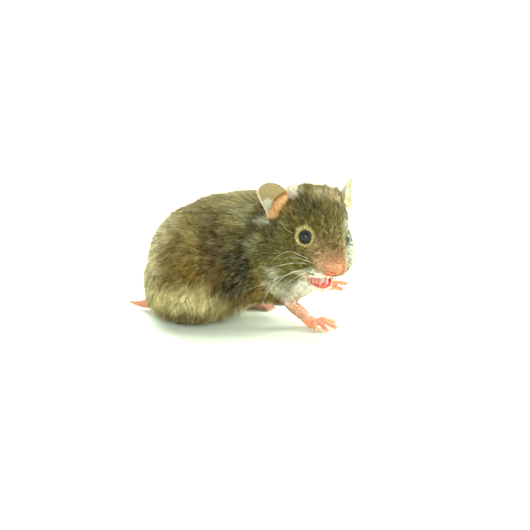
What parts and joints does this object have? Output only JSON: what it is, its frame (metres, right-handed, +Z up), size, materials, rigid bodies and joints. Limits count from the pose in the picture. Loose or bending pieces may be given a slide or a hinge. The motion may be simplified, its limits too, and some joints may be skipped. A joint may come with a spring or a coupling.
{
  "type": "syrian hamster",
  "caption": "Life-size still model of a squatting golden hamster, head turned aside with the mouth a little open, one forepaw planted and the other raised.",
  "frame": {"origin": "on the floor, under the middle of the animal's bounding box", "axes": "+X along the trunk towards the breast, +Y to the animal's left, +Z up"},
  "size_m": [0.1062, 0.058, 0.0656],
  "materials": {
    "coat": "dense short fur, agouti brown over a grey underside, cream below",
    "limb_coat": "thin pale fur over pink skin",
    "bare_skin": "soft pink skin with sparse hair",
    "nose_skin": "moist pink skin",
    "ear_skin": "thin tan skin with fine hair",
    "eye": "wet black gloss",
    "mouth_lining": "wet red flesh",
    "tooth": "yellow enamel"
  },
  "bodies": {
    "root": {"torso": "coat", "neck": "coat", "head": "coat", "lower_jaw": "coat", "haunch_left": "coat", "haunch_right": "coat", "foreleg_left": "limb_coat", "foreleg_right": "limb_coat", "forepaw_left": "bare_skin", "forepaw_right": "bare_skin", "hindfoot_left": "bare_skin", "hindfoot_right": "bare_skin", "tail": "bare_skin", "nose": "nose_skin", "ear_left": "ear_skin", "ear_right": "ear_skin", "eye_left": "eye", "eye_right": "eye", "tongue": "mouth_lining", "incisors": "tooth"}
  },
  "joints": []
}
